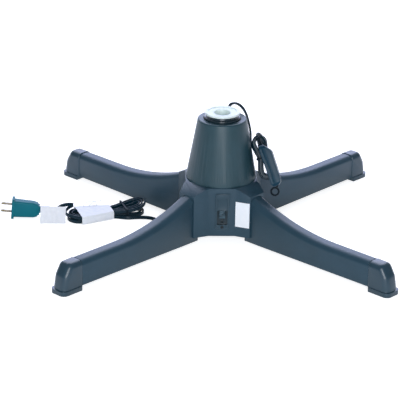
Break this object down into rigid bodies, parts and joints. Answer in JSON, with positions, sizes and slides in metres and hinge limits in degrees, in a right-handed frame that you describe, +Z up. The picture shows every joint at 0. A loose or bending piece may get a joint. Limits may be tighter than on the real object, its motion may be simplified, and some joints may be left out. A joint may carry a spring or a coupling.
{
  "type": "rotating christmas tree stand",
  "caption": "Rotating stand for an artificial christmas tree: curved plug-in legs, motor hub with slide switch, cone cover, turntable with pole sleeve and a carried outlet tap.",
  "frame": {"origin": "on the floor under the pole axis", "axes": "+Z up along the pole axis, -Y towards the speed switch, legs on the diagonals"},
  "size_m": [0.6167, 0.5214, 0.2058],
  "materials": {
    "housing": "satin",
    "cap": "gloss",
    "dark": "matte",
    "steel": "brushed",
    "can": "satin",
    "brass": "satin",
    "white": "satin",
    "cord": "satin",
    "teal": "satin",
    "label": "matte"
  },
  "bodies": {
    "stand": {"base_hub": "housing", "cone_cover": "housing", "bottom_plate": "dark", "plate_screws": "steel", "bearing_plate": "steel", "bearing_screws": "steel", "lower_bush": "brass", "thrust_washer": "steel", "upper_bush": "white", "gearmotor": "can", "motor_screws": "steel", "brush_block": "dark", "brushes": "brass", "switch_plate": "dark", "switch_body": "dark", "switch_screw": "steel", "flank_sticker": "label", "leg_fl": "housing", "leg_bl": "housing", "leg_br": "housing", "leg_fr": "housing", "foot_cap_fl": "cap", "foot_cap_bl": "cap", "foot_cap_br": "cap", "foot_cap_fr": "cap", "mains_gland": "dark", "mains_cord_out": "cord", "mains_hank": "cord", "mains_cord_end": "cord", "plug_relief": "teal", "plug_body": "teal", "plug_blades": "brass", "cord_wrap_tag": "label", "cord_flag_tag": "label", "hank_tie": "label"},
    "turntable": {"turntable_collar": "dark", "pole_sleeve": "white", "spindle_tube": "steel", "drive_gear": "white", "pivot_pin": "steel", "slip_ring_carrier": "dark", "slip_rings": "brass", "tap_cord_relief": "dark", "tap_cord": "cord", "tap_hank": "cord", "tap_tie": "cord", "tap_cord_end": "cord", "tap_relief": "dark", "outlet_tap": "teal", "tap_ring": "dark"},
    "pinion": {"motor_pinion": "white", "motor_shaft": "steel"},
    "switch_knob": {"switch_knob": "housing"}
  },
  "joints": [
    {"name": "turntable_spin", "type": "hinge", "parent": "stand", "child": "turntable", "pos_m": [0, 0, 0.05], "axis": [0, 0, 1], "continuous": true},
    {"name": "pinion_spin", "type": "hinge", "parent": "stand", "child": "pinion", "pos_m": [0.03315, 0.03315, 0.055], "axis": [0, 0, 1], "continuous": true},
    {"name": "switch_slide", "type": "slide", "parent": "stand", "child": "switch_knob", "axis": [0, 0, 1], "range_m": [-0.011, 0]}
  ],
  "couplings": [
    {"joint": "pinion_spin", "follows": "turntable_spin", "ratio": -4}
  ]
}
